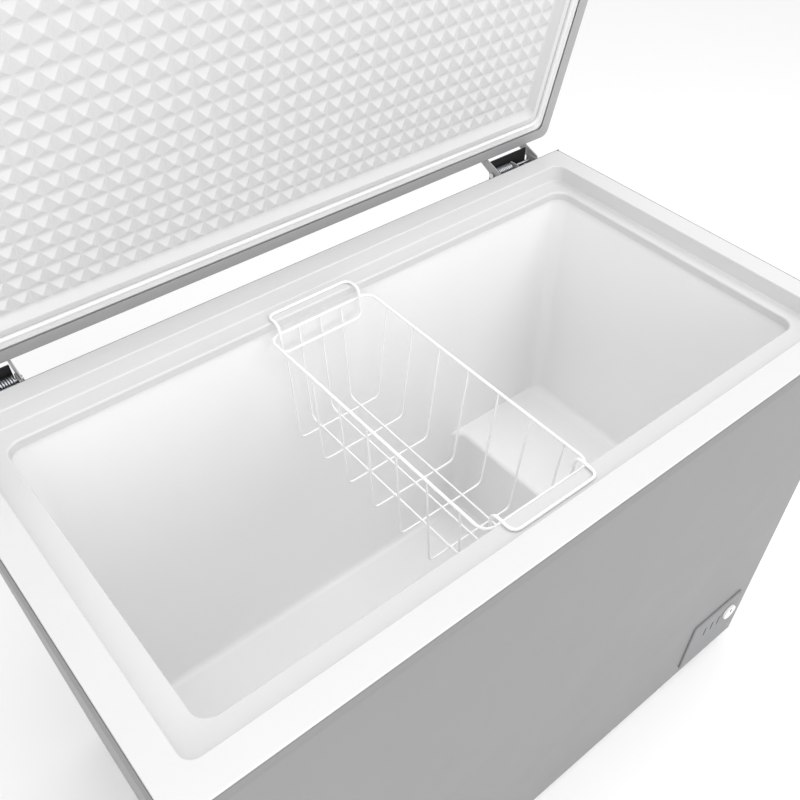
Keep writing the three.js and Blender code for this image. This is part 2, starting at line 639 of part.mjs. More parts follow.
function addHingeScrews() {
  hingeScrews().forEach(([x, z], i) => {
    const face = HINGE_FRONT + HINGE.web + GAP;
    const screw = join(bar('y', x, face, z, 5, 3, 14), bar('y', x, BACK - 14, z, 2, 18, 8));
    add(cabinet, `hinge_screw_${i + 1}`, screw, MATERIALS.zinc);
  });
}

// Lid, drawn closed; its group turns it open about the hinge pins.
const lidPlan = (inset) => [-LID.x + inset, LID.x - inset, LID.front + inset, LID.back - inset];

function lidShell() {
  const z0 = LID.bottom;
  const outer = prism(plan(...lidPlan(0), 12), z0, LID.top);
  const inner = prism(plan(...lidPlan(SHEET), 11), z0 + SHEET, LID.top - SHEET);
  const opening = prism(plan(...lidPlan(FLANGE), 8), z0 - 1, z0 + SHEET + 1);
  return cut(outer, join(inner, opening));
}

function lidLiner() {
  const low = RIM_HEIGHT;
  const inset = SHEET + 4;
  const plate = prism(plan(...lidPlan(inset), 8), low + LID_LINER_TOP - 3, low + LID_LINER_TOP);
  const border = prism(plan(...lidPlan(GASKET.to), 10), low + BORDER_LEVEL, low + LID_LINER_TOP - 1);
  const pocket = tapered(
    lidPlan(BORDER - 0.7), lidPlan(FIELD), 10, low + BORDER_LEVEL - 0.5, low + FIELD_LEVEL,
  );
  return cut(join(plate, border), pocket);
}

function lidGasket() {
  const [z0, z1] = [RIM_HEIGHT + GAP, RIM_HEIGHT + LID_LINER_TOP - 3 - GAP];
  const outer = prism(plan(...lidPlan(GASKET.from), 12), z0, z1);
  return cut(outer, prism(plan(...lidPlan(GASKET.to - GAP), 10), z0 - 1, z1 + 1));
}

function lidFoam() {
  const z0 = RIM_HEIGHT + LID_LINER_TOP + GAP;
  return prism(plan(...lidPlan(SHEET + GAP), 10), z0, LID.top - SHEET - GAP);
}

function lidHandle() {
  const y = LID.front - GAP;
  const z = LID.bottom;
  const profile = [
    [y, z + 44], [y, z + 2], [y - 3, z + 2], [y - 4, z + 28], [y - 16, z + 28], [y - 19, z + 2],
    [y - 23, z + 2], [y - 22, z + 34], [y - 10, z + 44],
  ];
  return plateX(profile.reverse(), -80, 80);
}

function hingeLeaf(side) {
  const t = HINGE.cheek;
  const face = LID.back + GAP;
  const [x0, x1] = [HINGE_IN, HINGE_OUT];
  const top = LID.bottom + 44;
  const web = block(...span(side, x0, x1), face, face + t, LID.bottom + 8, top);
  const around = [[-14.6, -10], [-8, -15.6], [3.2, -17.2], [8, -6], [8.2, 4.3], [0.1, 9.2]];
  const cheek = [
    [face + t - 0.5, LID.bottom + 2], ...around.map(([y, z]) => [PIN_Y + y, PIN_Z + z]),
    [face + t + 6, top], [face + t - 0.5, top],
  ];
  const hole = [[PIN_Y, PIN_Z, PIN.radius + 0.2]];
  return join(
    web,
    plateX(cheek, ...span(side, x0, x0 + t), hole),
    plateX(cheek, ...span(side, x1 - t, x1), hole),
  );
}

function addLid() {
  const turned = new THREE.Group();
  turned.position.set(0, PIN_Y, PIN_Z);
  turned.rotation.x = -THREE.MathUtils.degToRad(LID_OPEN);
  const lid = new THREE.Group();
  lid.position.set(0, -PIN_Y, -PIN_Z);
  turned.add(lid);
  root.add(turned);
  add(lid, 'lid_shell', lidShell(), MATERIALS.sheet);
  add(lid, 'lid_liner', lidLiner(), MATERIALS.white);
  add(lid, 'lid_gasket', lidGasket(), MATERIALS.seal);
  add(lid, 'lid_foam', lidFoam(), MATERIALS.foam);
  add(lid, 'lid_handle', lidHandle(), MATERIALS.plastic);
  add(lid, 'hinge_leaf_left', hingeLeaf(-1), MATERIALS.sheet);
  add(lid, 'hinge_leaf_right', hingeLeaf(1), MATERIALS.sheet);
}

// Basket: a rod rim between the liner's front and back walls, hung by two hook loops from the ledges.
const RIM_Z = RIM_HEIGHT - BASKET.top;
const BOTTOM_Z = RIM_Z - BASKET.depth;
const BASKET_LEFT = BASKET.x - BASKET.width / 2;
const BASKET_RIGHT = BASKET.x + BASKET.width / 2;
const BASKET_FRONT = FRONT_WALL + BASKET.room;
const BASKET_REAR = BACK_WALL - BASKET.room;
const LEDGE_Z = RIM_HEIGHT - STEP;

// Where the basket's sides are at the bottom.
const BOTTOM_LEFT = BASKET_LEFT + BASKET.taper / 2 - BASKET.lean;
const BOTTOM_RIGHT = BASKET_RIGHT - BASKET.taper / 2 - BASKET.lean;

function basketRim() {
  const corners = [
    [BASKET_LEFT, BASKET_FRONT, RIM_Z], [BASKET_RIGHT, BASKET_FRONT, RIM_Z],
    [BASKET_RIGHT, BASKET_REAR, RIM_Z], [BASKET_LEFT, BASKET_REAR, RIM_Z],
  ];
  return loop(corners, ROD, 16);
}

// One hook loop: out over the ledge, over its edge and down inside the rim. end is +1 at the back.
function basketHook(end) {
  const [x0, x1] = [BASKET_LEFT + HOOK.left, BASKET_RIGHT - HOOK.right];
  const rimY = end > 0 ? BASKET_REAR : BASKET_FRONT;
  const edge = rimY - end * (2 * ROD + GAP);
  const seat = end > 0 ? BACK - RIM_FLAT.back - HOOK.rear : RIM_FLAT.front + HOOK.front;
  const seatZ = LEDGE_Z + ROD + GAP;
  const low = RIM_Z - HOOK.drop;
  const foot = edge - end * HOOK.lean;
  const half = (x, other) => [
    [other, seat, seatZ], [x, seat, seatZ], [x, edge, seatZ + 2], [x, foot, low], [other, foot, low],
  ];
  const mid = (x0 + x1) / 2;
  const near = half(x0, mid + 1);
  const far = half(x1, mid);
  const radius = ROD - 0.3;
  return join(wire(near, radius, HOOK.bend, 8, 4), wire(far, radius, HOOK.bend, 8, 4));
}

// One wire across the basket, under the rim's sides.
function crossWire(i) {
  const pitch = (BASKET_REAR - BASKET_FRONT - 2 * BASKET.wireInset) / (CROSS_WIRES - 1);
  const y = BASKET_REAR - BASKET.wireInset - i * pitch;
  const top = RIM_Z - ROD - GAP;
  const corners = [
    [BASKET_LEFT, y, top], [BOTTOM_LEFT, y, BOTTOM_Z], [BOTTOM_RIGHT, y, BOTTOM_Z], [BASKET_RIGHT, y, top],
  ];
  return wire(corners, WIRE, 10);
}

// One wire along the basket, lying on the cross wires.
function longWire(i) {
  const share = (i + 1) / (LONG_WIRES + 1);
  const bottom = BOTTOM_LEFT + (BOTTOM_RIGHT - BOTTOM_LEFT) * share;
  const topX = bottom + BASKET.lean;
  const top = RIM_Z - ROD - GAP;
  const z = BOTTOM_Z + 2 * WIRE + GAP;
  const corners = [
    [topX, BASKET_FRONT, top], [bottom, BASKET_FRONT + BASKET.endTaper, z],
    [bottom, BASKET_REAR - BASKET.endTaper, z], [topX, BASKET_REAR, top],
  ];
  return wire(corners, WIRE, 12);
}

function addBasket() {
  const basket = new THREE.Group();
  root.add(basket);
  add(basket, 'basket_rim', basketRim(), MATERIALS.coated);
  add(basket, 'basket_hook_rear', basketHook(1), MATERIALS.coated);
  add(basket, 'basket_hook_front', basketHook(-1), MATERIALS.coated);
  for (let i = 0; i < CROSS_WIRES; i++) {
    add(basket, `basket_cross_wire_${i + 1}`, crossWire(i), MATERIALS.coated);
  }
  for (let i = 0; i < LONG_WIRES; i++) {
    add(basket, `basket_long_wire_${i + 1}`, longWire(i), MATERIALS.coated);
  }
}

add(cabinet, 'outer_wrapper', outerWrapper(), MATERIALS.sheet);
add(cabinet, 'rear_panel', rearPanel(), MATERIALS.sheet);
add(cabinet, 'bottom_panel', block(
  -OUT + SHEET + CLEAR, BAY_LEFT - GAP, -SKIRT + SHEET + CLEAR, BACK - SHEET - GAP, PANEL_BOTTOM, DECK,
), MATERIALS.zinc);
add(cabinet, 'plinth_frame', plinthFrame(), MATERIALS.pale);
addFeet();
add(cabinet, 'insulation_foam', insulationFoam(), MATERIALS.foam);
add(cabinet, 'inner_liner', innerLiner(), MATERIALS.liner);
add(cabinet, 'top_frame', topFrame(), MATERIALS.white);
add(cabinet, 'evaporator_tube', evaporatorTube(), MATERIALS.copper);
add(cabinet, 'condenser_tube', condenserTube(), MATERIALS.copper);
add(cabinet, 'compressor_plate', compressorPlate(), MATERIALS.zinc);
addCompressor();
add(cabinet, 'compressor_cover', compressorCover(), MATERIALS.sheet);
add(cabinet, 'control_panel', controlPanel(), MATERIALS.plastic);
add(cabinet, 'thermostat', thermostat(), MATERIALS.pale);
add(cabinet, 'thermostat_knob', thermostatKnob(), MATERIALS.white);
add(cabinet, 'cord_gland', cordGland(), MATERIALS.rubber);
addHinge(-1);
addHinge(1);
addHingeScrews();
addLid();
addBasket();

// The open lid reaches behind the cabinet: its far corner is the shell's upper rear edge.
const open = THREE.MathUtils.degToRad(LID_OPEN);
const rearReach = PIN_Y + (LID.back - PIN_Y) * Math.cos(open) + (LID.top - PIN_Z) * Math.sin(open);
const frontReach = PANEL_FACE - KNOB.deep - GAP;
root.position.y = -(rearReach + frontReach) / 2;

export default root;
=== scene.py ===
"""Chest freezer with its lid open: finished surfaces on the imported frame."""
import json
import math

import bmesh
import bpy
import numpy as np
from mathutils import Matrix, Vector


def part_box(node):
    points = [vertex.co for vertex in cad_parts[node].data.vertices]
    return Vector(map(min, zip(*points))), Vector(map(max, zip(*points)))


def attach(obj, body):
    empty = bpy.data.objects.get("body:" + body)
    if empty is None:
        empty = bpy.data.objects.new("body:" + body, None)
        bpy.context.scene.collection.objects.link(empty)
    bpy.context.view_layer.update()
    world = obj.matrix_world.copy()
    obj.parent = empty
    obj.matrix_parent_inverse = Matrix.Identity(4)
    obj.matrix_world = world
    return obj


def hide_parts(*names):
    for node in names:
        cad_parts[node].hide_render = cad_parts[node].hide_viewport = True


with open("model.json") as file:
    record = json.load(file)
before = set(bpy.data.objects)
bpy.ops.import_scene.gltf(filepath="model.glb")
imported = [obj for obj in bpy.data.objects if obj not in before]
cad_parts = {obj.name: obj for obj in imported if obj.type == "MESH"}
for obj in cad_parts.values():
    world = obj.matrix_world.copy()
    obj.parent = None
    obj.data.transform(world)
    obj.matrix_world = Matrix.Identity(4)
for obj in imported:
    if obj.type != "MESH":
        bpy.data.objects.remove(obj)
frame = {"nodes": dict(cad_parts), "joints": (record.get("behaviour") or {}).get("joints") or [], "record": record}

bl_info = {
    "name": "Chest Freezer",
    "version": (1, 0, 0),
    "blender": (4, 5, 0),
    "location": "View3D > Sidebar > Freezer",
    "description": "Builds a chest freezer's finished surfaces and its studio",
    "category": "Object",
}

MM = 0.001
GAP = 0.3 * MM  # between the frame's touching pieces
SHEET = MM  # painted sheet
OPEN = math.radians(77)  # how far the lid stands open
ROD_ROOM = 2.6 * MM  # the frame's rod, from its middle to its outside


def joint(name):
    """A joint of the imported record."""
    return next(j for j in frame["joints"] if j["name"] == name)


PIN = np.array(joint("lid_hinge")["pos_m"])
FRAME_LOW, FRAME_HIGH = (np.array(corner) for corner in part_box("top_frame"))
RIM = FRAME_HIGH[2]
LINER_LOW, LINER_HIGH = (np.array(corner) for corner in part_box("inner_liner"))
SKIRT = 4 * MM  # how far the wrapper stands out in front of the rim
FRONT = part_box("outer_wrapper")[0][1] + SKIRT  # front edge of the rim
BACK = FRAME_HIGH[1] + GAP + SHEET  # back edge of the rim, past the rear sheet


# Colours and shader nodes.


def linear(code):
    """A six-digit sRGB hex colour as linear red, green, blue and alpha."""
    parts = np.array([code >> 16 & 255, code >> 8 & 255, code & 255]) / 255
    light = np.where(parts <= 0.04045, parts / 12.92, ((parts + 0.055) / 1.055) ** 2.4)
    return (*light.tolist(), 1.0)


def shade(colour, factor):
    """A linear colour made lighter or darker."""
    return (*[min(c * factor, 1.0) for c in colour[:3]], 1.0)


def put(tree, kind, inputs=(), **settings):
    """Adds a node: settings are its attributes, and inputs pairs a socket with a value or another socket."""
    made = tree.nodes.new(kind)
    for name, value in settings.items():
        setattr(made, name, value)
    for name, value in dict(inputs).items():
        if isinstance(value, bpy.types.NodeSocket):
            tree.links.new(value, made.inputs[name])
        else:
            made.inputs[name].default_value = value
    return made


def blank(name):
    """A material with an empty tree, its object coordinates and its output."""
    material = bpy.data.materials.new(name)
    material.use_nodes = True
    tree = material.node_tree
    tree.nodes.clear()
    place = put(tree, "ShaderNodeTexCoord").outputs["Object"]
    return material, tree, place


def close(material, tree, shader):
    """Joins the shader to the material's output."""
    put(tree, "ShaderNodeOutputMaterial", {"Surface": shader.outputs["BSDF"]})
    material.diffuse_color = (0.8, 0.8, 0.8, 1.0)
    return material


def finish(name, colour, rough, grain, relief, spread=0.03, swing=0.05, wave=None, **shader):
    """A moulded, painted or plated finish.

    grain is the texture's cell and relief its height, in millimetres. spread is how far the colour drifts
    over a hand's width, swing how far the roughness does, and wave a slow dishing as (width, height) in
    millimetres. Other settings go to the shader's own sockets.
    """
    material, tree, place = blank(name)
    drift = put(tree, "ShaderNodeTexNoise", {"Vector": place, "Scale": 9.0, "Detail": 4.0, "Roughness": 0.6})
    tone = put(tree, "ShaderNodeMix", {
        "Factor": drift.outputs["Fac"], 6: shade(colour, 1 - spread), 7: shade(colour, 1 + spread),
    }, data_type="RGBA")
    cells = put(tree, "ShaderNodeTexNoise", {
        "Vector": place, "Scale": 1 / (grain * MM), "Detail": 3.0, "Roughness": 0.55,
    })
    gloss = put(tree, "ShaderNodeMapRange", {
        "Value": drift.outputs["Fac"], "To Min": max(rough - swing, 0.03), "To Max": min(rough + swing, 1.0),
    })
    bump = put(tree, "ShaderNodeBump", {
        "Height": cells.outputs["Fac"], "Distance": relief * MM, "Strength": 1.0,
    })
    if wave:
        slow = put(tree, "ShaderNodeTexNoise", {"Vector": place, "Scale": 1 / (wave[0] * MM), "Detail": 1.0})
        bump = put(tree, "ShaderNodeBump", {
            "Height": slow.outputs["Fac"], "Distance": wave[1] * MM, "Strength": 1.0,
            "Normal": bump.outputs["Normal"],
        })
    body = put(tree, "ShaderNodeBsdfPrincipled", {
        "Base Color": tone.outputs[2], "Roughness": gloss.outputs["Result"],
        "Normal": bump.outputs["Normal"], **shader,
    })
    return close(material, tree, body)


def coated_steel(colour):
    """Coil-coated steel sheet: satin polyester paint, faint orange peel, the slow dishing of thin sheet."""
    return finish("coil coated steel", colour, 0.42, 3.0, 0.03, 0.02, 0.06, (260, 0.9), **{"IOR": 1.5})


def vacuum_formed(colour):
    """High-impact polystyrene, vacuum formed: milky white, satin, a fine even skin."""
    return finish("vacuum formed HIPS", colour, 0.32, 2.5, 0.04, 0.015, 0.06, (90, 0.12), **{
        "IOR": 1.55, "Subsurface Weight": 0.06, "Subsurface Scale": 0.004,
        "Subsurface Radius": (1.0, 1.0, 1.0),
    })


def lined_aluminium(colour):
    """Painted aluminium liner sheet: smooth white enamel that shows the sheet's slight unevenness."""
    return finish("enamelled aluminium", colour, 0.3, 4.0, 0.03, 0.015, 0.05, (140, 0.7), **{"IOR": 1.5})


def moulded_grey(colour):
    """ABS in the cabinet's grey, moulded with a fine spark texture, drawn at 1.2 mm so that it shows."""
    return finish("spark textured ABS", colour, 0.55, 1.2, 0.05, 0.02, 0.05, **{"IOR": 1.54})


def moulded_white(colour):
    """White ABS with a polished mould finish."""
    return finish("polished ABS", colour, 0.25, 1.5, 0.01, 0.01, 0.04, **{"IOR": 1.54})


def soft_vinyl(colour):
    """Extruded plasticised PVC of the door gasket: soft, slightly translucent, faintly dusty."""
    return finish("gasket vinyl", colour, 0.5, 1.0, 0.03, 0.03, 0.08, **{
        "IOR": 1.53, "Subsurface Weight": 0.15, "Subsurface Scale": 0.003,
        "Subsurface Radius": (1.0, 1.0, 1.0),
    })


def coated_wire(colour):
    """Steel wire dipped in white polyethylene powder: a thick glossy skin with slow runs."""
    return finish("dip coated wire", colour, 0.22, 7.0, 0.12, 0.01, 0.05, **{"IOR": 1.52, "Coat Weight": 0.3})


def zinc_plate(colour):
    """Bright zinc plate on spring steel: bluish metal with a fine drawn grain."""
    return finish("bright zinc plate", colour, 0.28, 0.8, 0.02, 0.08, 0.1, **{"Metallic": 1.0})


def black_plastic(colour):
    """Black polypropylene, moulded with a leathery grain drawn at 1.5 mm."""
    return finish("grained polypropylene", colour, 0.6, 1.5, 0.1, 0.1, 0.08, **{"IOR": 1.49})


def black_rubber(colour):
    """Moulded EPDM: matt black, a little grey with dust."""
    return finish("moulded EPDM", colour, 0.82, 2.0, 0.12, 0.2, 0.06, **{"IOR": 1.52})


def stove_enamel(colour):
    """Black enamel sprayed over a drawn steel housing: soft gloss with heavy orange peel."""
    return finish("black stove enamel", colour, 0.3, 4.0, 0.15, 0.1, 0.08, (40, 0.4), **{"IOR": 1.52})


def drawn_copper(colour):
    """Drawn copper tube: warm metal, browned here and there by brazing heat."""
    return finish("drawn copper", colour, 0.3, 6.0, 0.05, 0.3, 0.12, **{"Metallic": 1.0})


def foam(colour):
    """Rigid polyurethane foam: cream, dead matt, with cells about 3 mm across where it is cut."""
    return finish("polyurethane foam", colour, 0.95, 3.0, 0.6, 0.06, 0.02, **{"IOR": 1.4})


def galvanised(colour):
    """Hot-dip galvanised sheet: grey metal in 14 mm spangles, each a slightly different tone and gloss."""
    material, tree, place = blank("galvanised sheet")
    spangle = put(tree, "ShaderNodeTexVoronoi", {"Vector": place, "Scale": 1 / (14 * MM)})
    code = spangle.outputs["Color"]
    tone = put(tree, "ShaderNodeMapRange", {"Value": code, "To Min": 0.75, "To Max": 1.15}).outputs["Result"]
    mixed = put(tree, "ShaderNodeVectorMath", {0: colour[:3], 1: tone}, operation="MULTIPLY")
    gloss = put(tree, "ShaderNodeMapRange", {"Value": code, "To Min": 0.35, "To Max": 0.55})
    body = put(tree, "ShaderNodeBsdfPrincipled", {
        "Base Color": mixed.outputs["Vector"], "Roughness": gloss.outputs["Result"], "Metallic": 1.0,
    })
    return close(material, tree, body)


# Shapes: every one is a grid of points worked out at once, then turned into quads.


def arc(centre, radii, start, end, steps=5):
    """Points of part of an ellipse, centre + radii * (cos t, sin t), with t from start to end in degrees."""
    t = np.radians(np.linspace(start, end, steps))
    return [(centre[0] + radii[0] * c, centre[1] + radii[1] * s) for c, s in zip(np.cos(t), np.sin(t))]


def rounded_plan(low, high, radius, steps=9):
    """A rectangle's outline with quarter circles of the given radius at its corners, anticlockwise."""
    t = np.linspace(0, np.pi / 2, steps)
    turns = t[None, :] + np.radians([180, 270, 0, 90])[:, None]
    centres = np.array([
        (low[0] + radius, low[1] + radius), (high[0] - radius, low[1] + radius),
        (high[0] - radius, high[1] - radius), (low[0] + radius, high[1] - radius),
    ])
    ring = centres[:, None, :] + radius * np.stack([np.cos(turns), np.sin(turns)], -1)
    return ring.reshape(-1, 2)


def stack(levels):
    """Rings from levels, each (low, high, corner radius, height): the rectangle's outline at that height."""
    rings = np.array([rounded_plan(low, high, max(radius, 0.2 * MM)) for low, high, radius, _ in levels])
    heights = np.array([level[3] for level in levels])
    return np.concatenate([rings, np.broadcast_to(heights[:, None, None], (*rings.shape[:2], 1))], -1)


def skin(rings, ends="caps"):
    """Vertices and faces of a surface through rings of equal length.

    Point j of ring i joins point j of ring i + 1. ends is "caps" for a flat face on the first and last ring,
    or "loop" where the last ring joins the first.
    """
    count, around = rings.shape[:2]
    i = np.arange(count if ends == "loop" else count - 1)[:, None]
    j = np.arange(around)[None, :]
    after, beside = (i + 1) % count, (j + 1) % around
    quads = np.stack([i * around + j, i * around + beside, after * around + beside, after * around + j], -1)
    faces = quads.reshape(-1, 4).tolist()
    if ends == "caps":
        faces.append(list(range(around))[::-1])
        faces.append([(count - 1) * around + k for k in range(around)])
    return rings.reshape(-1, 3), faces


def tube(path, radius, sides=14):
    """A round bar along a path.

    The section is a circle across the path's tangent, kept from twisting by carrying one normal along the
    path and flattening it against each new tangent.
    """
    path = np.asarray(path, float)
    step = np.diff(path, axis=0)
    step /= np.linalg.norm(step, axis=1)[:, None]
    tangent = np.vstack([step[:1], step[:-1] + step[1:], step[-1:]])
    tangent /= np.linalg.norm(tangent, axis=1)[:, None]
    normal = np.cross(tangent[0], (0.31, 0.17, 0.93))
    carried = []
    for t in tangent:
        normal = normal - t * (normal @ t)
        normal /= np.linalg.norm(normal)
        carried.append(normal)
    across = np.array(carried)
    other = np.cross(tangent, across)
    angle = np.linspace(0, 2 * np.pi, sides, endpoint=False)
    circle = across[:, None] * np.cos(angle)[:, None] + other[:, None] * np.sin(angle)[:, None]
    return path[:, None] + circle * radius


def closed_tube(path, radius, sides=14):
    """A round bar along a closed path.

    A section's circle lies across the tangent. Its first direction is the path's overall normal, flattened
    against the tangent, so the bar closes without a twist.
    """
    path = np.asarray(path, float)
    tangent = np.roll(path, -1, 0) - np.roll(path, 1, 0)
    tangent /= np.linalg.norm(tangent, axis=1)[:, None]
    whole = np.mean(path, axis=0)
    away = np.cross(path[0] - whole, path[len(path) // 3] - whole)
    away /= np.linalg.norm(away)
    first = away - tangent * (tangent @ away)[:, None]
    first /= np.linalg.norm(first, axis=1)[:, None]
    second = np.cross(tangent, first)
    angle = np.linspace(0, 2 * np.pi, sides, endpoint=False)
    circle = first[:, None] * np.cos(angle)[:, None] + second[:, None] * np.sin(angle)[:, None]
    return path[:, None] + circle * radius


def bend(corners, radius, steps=7):
    """Corner points with each corner replaced by a curve.

    Its start and end lie on the two sides, and points between follow the quadratic
    (1 - t)^2 start + 2t(1 - t) corner + t^2 end.
    """
    p = np.asarray(corners, float)
    t = np.linspace(0, 1, steps)[:, None]
    path = [p[:1]]
    for before, at, after in zip(p[:-2], p[1:-1], p[2:]):
        into, out = before - at, after - at
        lengths = np.linalg.norm(into), np.linalg.norm(out)
        reach = min(radius, lengths[0] * 0.48, lengths[1] * 0.48)
        start, end = at + into / lengths[0] * reach, at + out / lengths[1] * reach
        path.append((1 - t) ** 2 * start + 2 * t * (1 - t) * at + t**2 * end)
    path.append(p[-1:])
    return np.vstack(path)


def turned(profile, centre, axis, sides=48, flute=None):
    """A turned piece: profile (radius, distance along the axis) carried round it.

    flute is (count, depth): the radius is then reduced by depth where cos(count * angle) is positive.
    """
    profile = np.asarray(profile, float)
    angle = np.linspace(0, 2 * np.pi, sides, endpoint=False)
    radius = np.broadcast_to(profile[:, :1], (len(profile), sides)).copy()
    if flute:
        wide = profile[:, :1] > profile[:, 0].max() * 0.93
        radius -= flute[1] * wide * np.clip(np.cos(flute[0] * angle), 0, 1)
    side, up = {"x": (1, 2), "y": (2, 0), "z": (0, 1)}[axis]
    rings = np.zeros((len(profile), sides, 3))
    rings[..., side] = radius * np.cos(angle)
    rings[..., up] = radius * np.sin(angle)
    rings[..., "xyz".index(axis)] = profile[:, 1:]
    return rings + np.asarray(centre)


def opened(points):
    """Points of the closed lid turned about the hinge pins to where it stands open."""
    x, y, z = np.moveaxis(points - PIN, -1, 0)
    c, s = math.cos(OPEN), math.sin(OPEN)
    return np.stack([x, y * c + z * s, z * c - y * s], -1) + PIN


def piece(name, made, material, body, stands_for=(), smooth=35, bevel=0.0):
    """A finished object from vertices and faces, with its material, body and replaced nodes."""
    points, faces = made
    mesh = bpy.data.meshes.new(name)
    mesh.from_pydata(np.asarray(points, float).tolist(), [], faces)
    mesh.validate()
    return settle(name, mesh, material, body, stands_for, smooth, bevel)


def settle(name, mesh, material, body, stands_for, smooth=35, bevel=0.0):
    """Recalculates normals, shades, softens edges and hands the object to the frame."""
    work = bmesh.new()
    work.from_mesh(mesh)
    bmesh.ops.remove_doubles(work, verts=work.verts, dist=2e-6)
    bmesh.ops.recalc_face_normals(work, faces=work.faces)
    sharp = math.radians(smooth)
    for edge in work.edges:
        if len(edge.link_faces) == 2:
            edge.smooth = edge.calc_face_angle(0.0) < sharp
    for face in work.faces:
        face.smooth = True
    work.to_mesh(mesh)
    work.free()
    made = bpy.data.objects.new(name, mesh)
    bpy.context.scene.collection.objects.link(made)
    mesh.materials.append(material)
    if bevel:
        soft = made.modifiers.new("edges", "BEVEL")
        soft.width = bevel
        soft.segments = 2
        soft.limit_method = "ANGLE"
        soft.angle_limit = math.radians(28)
        soft.use_clamp_overlap = True
    even = made.modifiers.new("normals", "WEIGHTED_NORMAL")
    even.keep_sharp = True
    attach(made, body)
    if stands_for:
        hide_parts(*stands_for)
    return made


def body_of(name):
    """The name of the body that a node belongs to."""
    bodies = frame["record"]["behaviour"]["bodies"]
    return next(body for body, names in bodies.items() if name in names)


def refine(name, material, bevel):
    """A copy of a node with its corners joined and its edges rounded, in the node's place."""
    mesh = frame["nodes"][name].data.copy()
    mesh.materials.clear()
    return settle(f"{name}_finished", mesh, material, body_of(name), (name,), 35, bevel * MM)


def dress(name, material):
    """Gives a node a material and leaves its shape."""
    data = frame["nodes"][name].data
    data.materials.clear()
    data.materials.append(material)


# Sizes and colours that a user would change.


def length(name, text, value):
    """A length property, stored in metres and given in millimetres."""
    return bpy.props.FloatProperty(name=name, description=text, default=value * MM, min=0.0, unit="LENGTH")


def tint(name, code):
    """A colour property with an sRGB hex default."""
    return bpy.props.FloatVectorProperty(
        name=name, description=f"Colour of the {name.lower()}", subtype="COLOR", size=4, min=0, max=1,
        default=linear(code),
    )


class FreezerSizes(bpy.types.PropertyGroup):
    """Lengths that the finished surfaces need beyond the frame's own."""

    flat_left: length("Rim flat left", "Width of the rim's flat top at the left", 36)
    flat_right: length("Rim flat right", "Width of the rim's flat top at the right", 35)
    flat_front: length("Rim flat front", "Width of the rim's flat top at the front", 40)
    flat_back: length("Rim flat back", "Width of the rim's flat top at the back", 37)
    ledge_left: length("Ledge left", "Width of the basket ledge at the left", 31)
    ledge_right: length("Ledge right", "Width of the basket ledge at the right", 21)
    ledge_front: length("Ledge front", "Width of the basket ledge at the front", 39)
    ledge_back: length("Ledge back", "Width of the basket ledge at the back", 29)
    step: length("Step", "Rim top down to the ledge", 26)
    lip: length("Lip", "Ledge down to the lip's lower edge", 13)
    hump_length: length("Hump length", "Compressor hump along the tub", 204)
    hump_height: length("Hump height", "Compressor hump above the tub's floor", 215)
    liner: length("Liner", "Thickness of the liner", 1.5)
    corner: length("Corner", "Radius of the liner's upright corners", 25)
    pyramid: length("Pyramid", "Pitch of the lid liner's embossed pyramids", 23.6)
    relief: length("Relief", "Height of the embossed pyramids", 5.5)
    wire: length("Wire", "Radius of the basket's thin wires", 1.5)
    rod: length("Rod", "Radius of the basket's rim and hooks", 2.2)


class FreezerColours(bpy.types.PropertyGroup):
    """Colours of the finishes."""

    cabinet: tint("Cabinet", 0x828283)
    # The lid's paint is the cabinet's coil-coated grey set lighter: painted light, so the lid's shaded flange and
    # the hinges read as lit
    lid: tint("Lid and hinges", 0xAAAAAB)
    # Rim and liner are both white: the rim's white is set darker as painted shade that keeps the lit rim from
    # glaring, and the liner's whiter as painted light for the deep tub. The rim's white also goes on the lid's
    # liner
    rim: tint("Rim", 0xDADADA)
    liner: tint("Liner", 0xFAFAFA)
    gasket: tint("Gasket", 0xEBEBEB)
    plinth: tint("Plinth", 0xD2D2D0)
    panel: tint("Control panel", 0x868788)
    knob: tint("Knob", 0xF2F2F0)
    wire: tint("Basket wire", 0xFCFCFB)
    zinc: tint("Zinc", 0xC9CCD0)
    sheet: tint("Galvanised sheet", 0xA0A3A6)
    copper: tint("Copper", 0xC27C4E)
    black: tint("Black parts", 0x1C1C1D)
    rubber: tint("Rubber", 0x262627)
    foam: tint("Foam", 0xE8DCAE)
    floor: tint("Floor", 0xFDFDFD)


def sizes():
    """The scene's sizes."""
    return bpy.context.scene.freezer_sizes


def colour(name):
    """One of the scene's colours, as linear red, green, blue and alpha."""
    return tuple(getattr(bpy.context.scene.freezer_colours, name))


def shared(name, make):
    """A material made once and used by several pieces."""
    key = f"freezer_{name}"
    if key not in bpy.context.scene:
        bpy.context.scene[key] = make(colour(name)).name
    return bpy.data.materials[bpy.context.scene[key]]


# Rectangles of the rim, as (lowest x and y, highest x and y).


def rim_rectangles():
    """The rim's outer edge, the foot of its step and the mouth of the tub."""
    s = sizes()
    outer = FRAME_LOW[:2] - GAP, np.array([FRAME_HIGH[0] + GAP, BACK])
    step = outer[0] + (s.flat_left, s.flat_front), outer[1] - (s.flat_right, s.flat_back)
    mouth = step[0] + (s.ledge_left, s.ledge_front), step[1] - (s.ledge_right, s.ledge_back)
    return outer, step, mouth


def grown(rectangle, out):
    """A rectangle moved outwards on all sides."""
    return rectangle[0] - out, rectangle[1] + out


